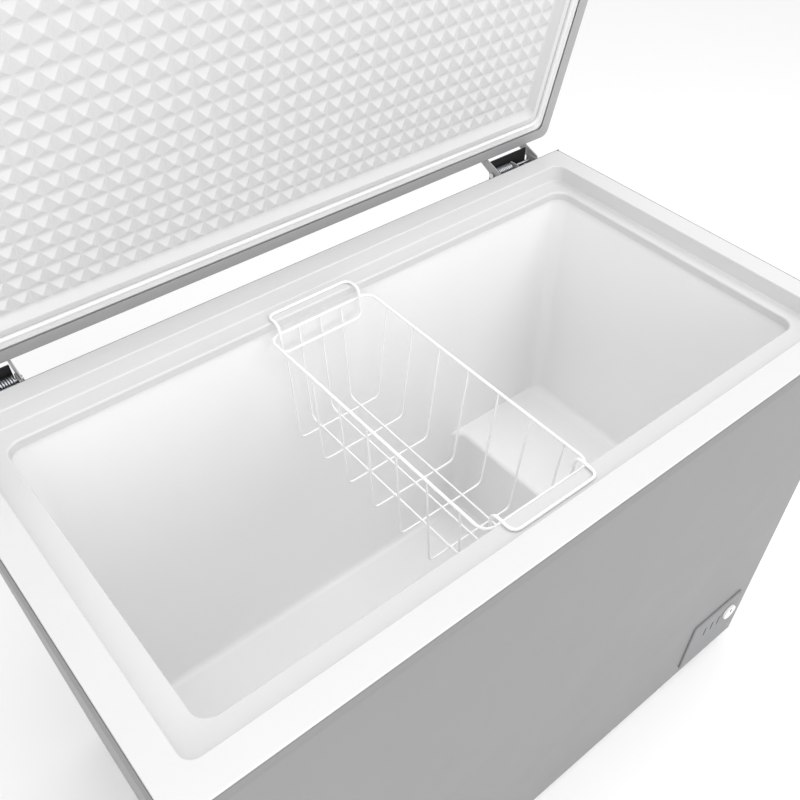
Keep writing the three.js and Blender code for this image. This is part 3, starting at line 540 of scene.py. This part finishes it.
class FREEZER_OT_rim(bpy.types.Operator):
    """Builds the white stepped top frame."""

    bl_idname = "freezer.rim"
    bl_label = "Top frame"

    def execute(self, context):
        s = sizes()
        _, step, mouth = rim_rectangles()
        outer = FRAME_LOW[:2], FRAME_HIGH[:2]  # this piece's own edge, inside the gaps
        ledge, foot = s.step, s.step + s.lip

        def level(rectangle, out, down, corner):
            low, high = grown(rectangle, out * MM)
            return low, high, corner * MM + out * MM, RIM - down

        wall = 3 * MM
        levels = [level(outer, 0, wall, 6), level(outer, 0, 2 * MM, 6)]
        levels += [level(outer, -2 + r, -z * MM, 6) for r, z in arc((0, -2), (2, 2), 0, 90)]
        levels += [level(step, 1.8 - r, -z * MM, 15) for r, z in arc((0, -1.8), (1.8, 1.8), 90, 0)]
        levels += [
            level(step, -2.5 + r, ledge - 2.5 * MM + z * MM, 15) for r, z in arc((0, 0), (2.5, 2.5), 0, 90)
        ]
        levels += [level(mouth, 3 - r, ledge - z * MM, 21) for r, z in arc((0, -3), (3, 3), 90, 0)]
        levels += [level(mouth, 0, foot, 21), level(mouth, 3, foot, 21)]
        levels += [level(mouth, 3, ledge + wall, 21), level(step, 3, ledge + wall, 15)]
        levels += [level(step, 3, wall, 15)]
        # The rim's white is set darker than the liner's: painted shade
        white = shared("rim", vacuum_formed)
        piece("rim_frame", skin(stack(levels), "loop"), white, "cabinet", ("top_frame",))
        return {"FINISHED"}


class FREEZER_OT_tub(bpy.types.Operator):
    """Builds the inner liner with its compressor hump."""

    bl_idname = "freezer.tub"
    bl_label = "Inner liner"

    def execute(self, context):
        s = sizes()
        _, _, mouth = rim_rectangles()
        draft = 0.012
        floor = LINER_LOW[2] + s.liner
        shelf = floor + s.hump_height
        _, right = grown(mouth, 4 * MM)
        hump = right[0] - draft * (RIM - shelf) - s.hump_length

        def level(out, z, x1=None, inset=0.0):
            low, high = grown(mouth, 4 * MM - draft * (RIM - z) + out - inset)
            high = np.array([high[0] if x1 is None else x1 + out - inset, high[1]])
            return low, high, s.corner + out - inset, z

        def walls(out):
            """Rings from the mouth down to the floor.

            They pass the wall, a quarter circle into the shelf over the hump, another over its edge, the
            hump's wall, and a quarter circle into the floor.
            """
            fillet, edge, base = 12 * MM, 9 * MM, 14 * MM
            end = right[0] - draft * (RIM - shelf)
            top = [level(out, LINER_HIGH[2]), level(out, shelf + fillet + 60 * MM)]
            into = [
                level(out, shelf - out + fillet - fillet * math.sin(t), end - fillet * (1 - math.cos(t)))
                for t in np.linspace(0, np.pi / 2, 6)
            ]
            over = [
                level(out, shelf - out - edge * (1 - math.cos(t)), hump + edge * (1 - math.sin(t)))
                for t in np.linspace(0, np.pi / 2, 6)
            ]
            down = [level(out, floor - out + base + 20 * MM, hump)]
            foot = [
                level(out, floor - out + base * (1 - math.sin(t)), hump, base * (1 - math.cos(t)))
                for t in np.linspace(0, np.pi / 2, 6)
            ]
            return top + into + over + down + foot

        levels = walls(s.liner)[::-1] + walls(0.0)
        # The liner's white is set whiter than the rim's: painted light for the deep tub
        white = shared("liner", lined_aluminium)
        piece("tub_liner", skin(stack(levels)), white, "cabinet", ("inner_liner",), 50)
        return {"FINISHED"}


class FREEZER_OT_cabinet(bpy.types.Operator):
    """Finishes the sheet-metal cabinet, its plinth and its feet."""

    bl_idname = "freezer.cabinet"
    bl_label = "Cabinet"

    def execute(self, context):
        paint = shared("cabinet", coated_steel)
        for name in ("outer_wrapper", "rear_panel", "compressor_cover"):
            refine(name, paint, 0.4)
        refine("plinth_frame", shared("plinth", moulded_grey), 1.2)
        sheet = shared("sheet", galvanised)
        for name in ("bottom_panel", "compressor_plate"):
            refine(name, sheet, 0.3)
        rubber = shared("rubber", black_rubber)
        for name in [n for n in frame["nodes"] if n.startswith("foot_")]:
            low, high = (np.array(corner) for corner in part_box(name))
            r, h = (high[0] - low[0]) / 2, high[2]
            edge = arc((r - 4 * MM, 1.5 * MM), (1.5 * MM, 1.5 * MM), -90, 0)
            profile = [(r * 0.2, 0), *edge, (r - MM, h - MM), (r - 1.4 * MM, h), (r * 0.2, h)]
            centre = ((low[0] + high[0]) / 2, (low[1] + high[1]) / 2, 0)
            made = skin(turned(profile, centre, "z"))
            piece(f"{name}_pad", made, rubber, "cabinet", (name,))
        return {"FINISHED"}


class FREEZER_OT_controls(bpy.types.Operator):
    """Builds the control panel and the fluted thermostat knob."""

    bl_idname = "freezer.controls"
    bl_label = "Controls"

    def execute(self, context):
        refine("control_panel", shared("panel", moulded_grey), 0.5)
        refine("thermostat", shared("black", black_plastic), 0.6)
        low, high = (np.array(corner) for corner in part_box("thermostat_knob"))
        r, deep = (high[0] - low[0]) / 2, high[1] - low[1]
        centre = ((low[0] + high[0]) / 2, high[1], (low[2] + high[2]) / 2)
        edge = [(a, -b) for a, b in arc((r - 1.6 * MM, deep - 1.6 * MM), (1.6 * MM, 1.6 * MM), 0, 90, 7)]
        dish = [(r * 0.8, -deep + 0.1 * MM), (r * 0.7, -deep + 0.8 * MM), (r * 0.1, -deep + MM)]
        back = [(3.4 * MM, -3.6 * MM), (3.4 * MM, 0), (r - 0.8 * MM, 0), (r, -0.8 * MM)]
        knob = skin(turned(back + edge + dish, centre, "y", 144, (24, 0.6 * MM)))
        white = shared("knob", moulded_white)
        piece("knob_dial", knob, white, "knob", ("thermostat_knob",))
        mark_low = np.array([centre[0] - 0.9 * MM, centre[2] + r * 0.2])
        mark_high = np.array([centre[0] + 0.9 * MM, centre[2] + r * 0.8])
        depths = high[1] - deep + np.array([0.9, 0.05]) * MM
        line = stack([(mark_low, mark_high, 0.8 * MM, y) for y in depths])[..., [0, 2, 1]]
        mark = shared("black", black_plastic)
        piece("knob_pointer", skin(line), mark, "knob")
        return {"FINISHED"}


class FREEZER_OT_machinery(bpy.types.Operator):
    """Finishes the compressor bay and the pieces inside the walls."""

    bl_idname = "freezer.machinery"
    bl_label = "Compressor bay"

    def execute(self, context):
        rubber, copper = shared("rubber", black_rubber), shared("copper", drawn_copper)
        refine("compressor", stove_enamel(colour("black")), 1.5)
        for name in [n for n in frame["nodes"] if n.startswith("compressor_grommet")]:
            refine(name, rubber, 0.8)
        refine("start_relay", shared("black", black_plastic), 1.2)
        refine("cord_gland", rubber, 0.4)
        for name in ("discharge_pipe", "suction_pipe", "filter_drier", "evaporator_tube", "condenser_tube"):
            refine(name, copper, 0.0)
        dress("insulation_foam", shared("foam", foam))
        return {"FINISHED"}


class FREEZER_OT_hinges(bpy.types.Operator):
    """Builds the two hinges with their pins, springs, trays, leaves and screws."""

    bl_idname = "freezer.hinges"
    bl_label = "Hinges"

    def execute(self, context):
        # The hinges take the lid's lightened grey: painted light on their shaded cheeks
        paint, zinc = shared("lid", coated_steel), shared("zinc", zinc_plate)
        for end in ("left", "right"):
            refine(f"hinge_base_{end}", paint, 0.35)
            refine(f"hinge_leaf_{end}", paint, 0.35)
            refine(f"hinge_pin_{end}", zinc, 0.5)
            refine(f"hinge_tray_{end}", shared("black", black_plastic), 0.5)
            self.spring(end, zinc)
        for name in [n for n in frame["nodes"] if n.startswith("hinge_screw")]:
            self.screw(name, zinc)
        return {"FINISHED"}

    def spring(self, end, zinc):
        """A helix of wire round the pin: angle grows evenly with x, and both ends run straight down."""
        name = f"hinge_spring_{end}"
        low, high = (np.array(corner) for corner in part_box(name))
        wire, turns = 1.3 * MM, 9
        t = np.linspace(0, 1, turns * 28)
        angle = np.pi + 2 * np.pi * turns * t
        r = (high[2] - low[2]) / 2 - wire
        x = low[0] + wire + (high[0] - low[0] - 2 * wire) * t
        coil = np.stack([x, PIN[1] + r * np.cos(angle), PIN[2] + r * np.sin(angle)], -1)
        leg = np.linspace((0, 0, -24 * MM), (0, 0, -2 * MM), 6)
        path = np.vstack([coil[0] + leg, coil, coil[-1] + leg[::-1]])
        piece(f"{name}_coil", skin(tube(path, wire, 10)), zinc, "cabinet", (name,), 60)

    def screw(self, name, zinc):
        """A pan-head screw: the head's radius falls along a quarter ellipse, over a plain shank."""
        low, high = (np.array(corner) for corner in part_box(name))
        r, mid = (high[2] - low[2]) / 2, (low + high) / 2
        dome = arc((1.2 * MM, 0), (r - 1.2 * MM, 2.6 * MM), 90, 0, 8)
        profile = [*dome, (2 * MM, 0), (2 * MM, -15 * MM)]
        centre = (mid[0], high[1] - 2.7 * MM, mid[2])
        piece(f"{name}_pan", skin(turned(profile, centre, "y", 32)), zinc, "cabinet", (name,))


# The lid's pieces are worked out closed, and then opened. Heights are above the rim's top.
LID_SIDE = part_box("lid_shell")[1][0]
LID_FRONT = FRONT - 7 * MM
LID_BACK = BACK + 1.5 * MM
FLANGE = RIM + 4 * MM  # underside of the lid's edge
LID_DEEP = 56 * MM


def lid_level(inset, z, corner):
    """A ring's rectangle, inset from the lid's edge, with its corner radius and height, in millimetres."""
    low = np.array([-LID_SIDE + inset * MM, LID_FRONT + inset * MM])
    high = np.array([LID_SIDE - inset * MM, LID_BACK - inset * MM])
    return low, high, corner * MM, z


def lid_curve(base, corner, *ellipse):
    """Rings along part of an ellipse: arc's numbers, as insets and heights above base, in millimetres."""
    return [lid_level(inset, base + height * MM, corner) for inset, height in arc(*ellipse)]


class FREEZER_OT_lid(bpy.types.Operator):
    """Builds the lid: pressed shell, embossed liner, ribbed gasket and handle."""

    bl_idname = "freezer.lid"
    bl_label = "Lid"

    def execute(self, context):
        self.shell()
        self.filling()
        self.liner()
        self.pyramids()
        self.gasket()
        refine("lid_handle", shared("panel", moulded_grey), 1.2)
        return {"FINISHED"}

    def shell(self):
        """A pressed tray: flange turned in, rolled lower edge, upright sides and a rounded, crowned top."""
        top = FLANGE + LID_DEEP
        levels = [lid_level(20.5, FLANGE + MM, 8), lid_level(20.5, FLANGE + 0.3 * MM, 8)]
        levels += [lid_level(20.1, FLANGE, 8)]
        levels += lid_curve(FLANGE, 12, (2.5, 2.5), (-2.5, -2.5), 90, 0)
        levels += lid_curve(top, 12, (9, -9.8), (-9, 9), 0, 90, 8)
        levels += [lid_level(60, top - 0.35 * MM, 12), lid_level(160, top - 0.1 * MM, 12)]
        levels += [lid_level(270, top, 12)]
        inner = [lid_level(270, top - 2 * MM, 12), lid_level(11, top - 2.5 * MM, 11)]
        inner += [lid_level(3.9, top - 5.6 * MM, 11), lid_level(1.2, top - 12 * MM, 11)]
        inner += [lid_level(1.2, FLANGE + 3 * MM, 11)]
        inner += [lid_level(3, FLANGE + MM, 10)]
        made = skin(opened(stack(inner + levels)))
        # The lid's skin takes the cabinet's paint set lighter: painted light on its shaded flange
        piece("lid_skin", made, shared("lid", coated_steel), "lid", ("lid_shell",))

    def filling(self):
        """The foam between shell and liner, rounded like the shell's inside."""
        top = FLANGE + LID_DEEP - 2.8 * MM
        levels = [lid_level(1.6, RIM + 15.3 * MM, 10), lid_level(1.6, top - 10 * MM, 10)]
        levels += lid_curve(top, 10, (11, -9.4), (-9.4, 9.4), 0, 90, 8)
        made = skin(opened(stack(levels)))
        piece("lid_filling", made, shared("foam", foam), "lid", ("lid_foam",))

    def liner(self):
        """Border, bevel and recessed floor round the embossed field, backed by a flat plate."""
        seat = RIM + 7.5 * MM
        levels = [lid_level(60, RIM + 15 * MM, 8), lid_level(5.5, RIM + 15 * MM, 8), lid_level(5.5, seat, 8)]
        levels += [lid_level(42.8, seat, 10)]
        levels += lid_curve(RIM, 10, (54, 5.4), (-11.2, -2.6), 0, 90, 10)
        levels += lid_curve(RIM, 10, (54, 4.8), (2, -2), 90, 20)
        levels += [lid_level(64, RIM + 11.6 * MM, 12), lid_level(67, RIM + 12.8 * MM, 12)]
        levels += [lid_level(70, RIM + 13 * MM, 12)]
        made = skin(opened(stack(levels)))
        # The lid's liner takes the rim's darkened white: painted shade
        piece("lid_inner", made, shared("rim", vacuum_formed), "lid", ("lid_liner",))

    def pyramids(self):
        """Square pyramids in a grid.

        With u and v running from -1 to 1 over a cell, the height is relief * (0.88 - max(|u|, |v|)) / 0.78,
        kept between 0 and relief, so a flat strip is left between cells and each tip is a small flat. Grid
        lines lie on every change of slope, and each corner square is split along the pyramid's edge.
        """
        s = sizes()
        low, high, _, _ = lid_level(67, 0, 0)
        cells = np.round((high - low) / s.pyramid).astype(int)
        stops = np.array([-1, -0.88, -0.1, 0.1, 0.88])
        u, v = (np.append(np.tile(stops, n), -1.0) for n in cells)
        x, y = (
            low[k] + (np.arange(len(w)) // 5 + (w + 1) / 2) * (high[k] - low[k]) / cells[k]
            for k, w in enumerate((u, v))
        )
        rise = np.clip((0.88 - np.maximum(np.abs(u)[:, None], np.abs(v)[None, :])) / 0.78, 0, 1) * s.relief
        face = np.stack([*np.meshgrid(x, y, indexing="ij"), RIM + 12.9 * MM - rise], -1)
        index = np.arange(face.shape[0] * face.shape[1]).reshape(face.shape[:2])
        a, b, c, d = index[:-1, :-1], index[:-1, 1:], index[1:, 1:], index[1:, :-1]
        middle_u, middle_v = (w[:-1, None] + w[1:, None] for w in (u, v))
        falling = (middle_u * middle_v.T) < 0
        one = np.where(falling[..., None], np.stack([a, b, d], -1), np.stack([a, b, c], -1))
        two = np.where(falling[..., None], np.stack([b, c, d], -1), np.stack([a, c, d], -1))
        edge = np.concatenate([index[:-1, 0], index[-1, :-1], index[:0:-1, -1], index[0, :0:-1]])
        rim = face.reshape(-1, 3)[edge].copy()
        rim[:, 2] = RIM + 14 * MM
        behind = np.arange(index.size, index.size + len(edge))
        sides = np.stack([edge, np.roll(edge, -1), np.roll(behind, -1), behind], -1)
        points = opened(np.vstack([face.reshape(-1, 3), rim]))
        faces = one.reshape(-1, 3).tolist() + two.reshape(-1, 3).tolist() + sides.tolist() + [behind.tolist()]
        # The pyramids take the rim's darkened white: painted shade
        white = shared("rim", vacuum_formed)
        piece("lid_pyramids", (points, faces), white, "lid", (), 15, 0.5 * MM)

    def gasket(self):
        """An extruded strip: four small ribs on its outer half, a round bulb on its inner half."""
        tooth = ((0, 0), (0.45, -0.9), (0.9, -0.9), (1.35, 0))
        ribs = [(26.3 + 1.9 * k + a, 3.4 + b) for k in range(5) for a, b in tooth]
        bulb = [(a, b) for a, b in arc((39.1, 4.4), (3.0, 4.0), 180, 360, 12)]
        section = [(25.8, 11.4), (25.8, 4.0), *ribs, *bulb, (42.1, 11.4)]
        levels = [lid_level(inset, RIM + z * MM, 12 + max(0, 30 - inset) * 0.3) for inset, z in section]
        made = skin(opened(stack(levels)), "loop")
        piece("lid_seal", made, shared("gasket", soft_vinyl), "lid", ("lid_gasket",), 50)


class FREEZER_OT_basket(bpy.types.Operator):
    """Builds the wire basket: rim, two hook loops, cross wires and long wires."""

    bl_idname = "freezer.basket"
    bl_label = "Wire basket"

    def execute(self, context):
        self.wire = shared("wire", coated_wire)
        self.rim()
        self.hook("rear", 1)
        self.hook("front", -1)
        self.cross_wires()
        self.long_wires()
        return {"FINISHED"}

    def rod(self, node, path):
        """One thin wire along a path, in the place of a node."""
        made = skin(tube(path, sizes().wire))
        piece(f"{node}_rod", made, self.wire, "basket", (node,), 60)

    def rim(self):
        """A rounded rectangle of rod."""
        s = sizes()
        low, high = (np.array(corner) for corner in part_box("basket_rim"))
        low, high = low + ROD_ROOM, high - ROD_ROOM
        z = (low[2] + high[2]) / 2
        plan = rounded_plan(low[:2], high[:2], 16 * MM, 12)
        ring = np.column_stack([plan, np.full(len(plan), z)])
        made = skin(closed_tube(ring, s.rod), "loop")
        piece("basket_hoop", made, self.wire, "basket", ("basket_rim",), 60)

    def hook(self, which, end):
        """A loop of rod: a bar on the ledge, two legs over the ledge's edge, and a bar inside the rim."""
        s = sizes()
        node = f"basket_hook_{which}"
        low, high = (np.array(corner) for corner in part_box(node))
        r = ROD_ROOM - 0.3 * MM
        x0, x1 = low[0] + r, high[0] - r
        seat = high[1] - r if end > 0 else low[1] + r
        foot = low[1] + r if end > 0 else high[1] - r
        edge = foot + end * 3 * MM
        top, bottom = high[2] - r, low[2] + r
        shift = 2 * MM
        corners = [
            ((x0 + x1) / 2, seat, top - shift), (x0, seat, top - shift), (x0, edge, top), (x0, foot, bottom),
            (x1, foot, bottom), (x1, edge, top), (x1, seat, top - shift),
        ]
        path = bend(np.array(corners + [corners[0]]), 12 * MM, 9)[:-1]
        made = skin(closed_tube(path, s.rod), "loop")
        piece(f"{node}_loop", made, self.wire, "basket", (node,), 60)

    def cross_wires(self):
        """U-shaped wires under the rim's long sides."""
        s = sizes()
        for name in [n for n in frame["nodes"] if n.startswith("basket_cross")]:
            low, high = (np.array(corner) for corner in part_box(name))
            y = (low[1] + high[1]) / 2
            z0, z1 = low[2] + s.wire, high[2] + 2 * MM
            left, right = low[0] + s.wire, high[0] - s.wire
            bottom_left, bottom_right = left + 5 * MM, right - 22 * MM
            corners = [(left, y, z1), (bottom_left, y, z0), (bottom_right, y, z0), (right, y, z1)]
            self.rod(name, bend(corners, 10 * MM))

    def long_wires(self):
        """Wires along the basket's floor, up its sloping ends to the rim."""
        s = sizes()
        for name in [n for n in frame["nodes"] if n.startswith("basket_long")]:
            low, high = (np.array(corner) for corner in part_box(name))
            z0, z1 = low[2] + s.wire, high[2] + 2 * MM
            lean = 22 * MM
            x0, x1 = low[0] + s.wire, high[0] - s.wire
            corners = [(x1, low[1], z1), (x0, low[1] + lean, z0), (x0, high[1] - lean, z0), (x1, high[1], z1)]
            self.rod(name, bend(corners, 12 * MM))


class FREEZER_OT_stage(bpy.types.Operator):
    """Sets the pale floor, the soft light and the camera."""

    bl_idname = "freezer.stage"
    bl_label = "Studio"

    def execute(self, context):
        self.floor()
        self.world()
        self.light("key", (1.5, -1.5, 3.4), 1.8, 26)
        self.light("top", (-0.4, -0.2, 3.4), 1.6, 16)
        self.light("fill", (-0.7, -2.5, 1.5), 1.8, 21)
        self.camera()
        return {"FINISHED"}

    def floor(self):
        """A plain sheet of paper that the freezer stands on."""
        mesh = bpy.data.meshes.new("studio_floor")
        mesh.from_pydata([(-30, -30, 0), (30, -30, 0), (30, 30, 0), (-30, 30, 0)], [], [(0, 1, 2, 3)])
        floor = bpy.data.objects.new("studio_floor", mesh)
        bpy.context.scene.collection.objects.link(floor)
        mesh.materials.append(finish("studio paper", colour("floor"), 0.9, 2.0, 0.02, 0.005, 0.02))

    def world(self):
        """Even white light from all round."""
        world = bpy.data.worlds.new("studio")
        world.use_nodes = True
        light = world.node_tree.nodes["Background"]
        light.inputs["Color"].default_value = (1.0, 1.0, 1.0, 1.0)
        light.inputs["Strength"].default_value = 0.88
        bpy.context.scene.world = world
        bpy.context.scene.view_settings.view_transform = "Standard"

    def light(self, name, place, size, power):
        """A round soft lamp that points at the middle of the freezer."""
        data = bpy.data.lights.new(name, "AREA")
        data.shape, data.size, data.energy = "DISK", size, power
        lamp = bpy.data.objects.new(name, data)
        bpy.context.scene.collection.objects.link(lamp)
        lamp.location = place
        aim = np.array((0, 0, 0.6)) - place
        lamp.rotation_mode = "QUATERNION"
        lamp.rotation_quaternion = Vector(aim).to_track_quat("-Z", "Y")

    def camera(self):
        """Looks down from the front left; the three angles turn the view from straight ahead."""
        heading, tilt, roll = math.radians(41.51), math.radians(48.0), math.radians(1.59)
        level_ahead = np.array([math.sin(heading), math.cos(heading), 0])
        ahead = level_ahead * math.cos(tilt) + (0, 0, -math.sin(tilt))
        level = np.array([math.cos(heading), -math.sin(heading), 0])
        above = np.cross(level, ahead)
        right = math.cos(roll) * level + math.sin(roll) * above
        up = -math.sin(roll) * level + math.cos(roll) * above
        data = bpy.data.cameras.new("camera")
        data.lens, data.sensor_width = 39.18, 36.0
        data.shift_x, data.shift_y = -0.0493, 0.0989
        camera = bpy.data.objects.new("camera", data)
        bpy.context.scene.collection.objects.link(camera)
        turn = Matrix(np.column_stack([right, up, -ahead]).tolist())
        corner = np.array([FRAME_LOW[0] - GAP, FRONT, RIM])
        place = corner + (-0.0136, -0.3343, 0.7248)
        camera.matrix_world = Matrix.Translation(place) @ turn.to_4x4()
        bpy.context.scene.camera = camera


class FREEZER_PT_panel(bpy.types.Panel):
    """Lists the freezer's sizes, colours and builders."""

    bl_label = "Freezer"
    bl_idname = "FREEZER_PT_panel"
    bl_space_type = "VIEW_3D"
    bl_region_type = "UI"
    bl_category = "Freezer"

    def draw(self, context):
        for group in (context.scene.freezer_sizes, context.scene.freezer_colours):
            for name in group.__annotations__:
                self.layout.prop(group, name)
        for operator in BUILDERS:
            self.layout.operator(operator.bl_idname)


BUILDERS = (
    FREEZER_OT_cabinet, FREEZER_OT_rim, FREEZER_OT_tub, FREEZER_OT_controls, FREEZER_OT_machinery,
    FREEZER_OT_hinges, FREEZER_OT_lid, FREEZER_OT_basket, FREEZER_OT_stage,
)
CLASSES = (FreezerSizes, FreezerColours, *BUILDERS, FREEZER_PT_panel)


def register():
    for kind in CLASSES:
        bpy.utils.register_class(kind)
    bpy.types.Scene.freezer_sizes = bpy.props.PointerProperty(type=FreezerSizes)
    bpy.types.Scene.freezer_colours = bpy.props.PointerProperty(type=FreezerColours)


def unregister():
    del bpy.types.Scene.freezer_colours
    del bpy.types.Scene.freezer_sizes
    for kind in reversed(CLASSES):
        bpy.utils.unregister_class(kind)


def main():
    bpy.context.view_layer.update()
    register()
    for operator in BUILDERS:
        family, name = operator.bl_idname.split(".")
        getattr(getattr(bpy.ops, family), name)()


if __name__ == "__main__":
    main()
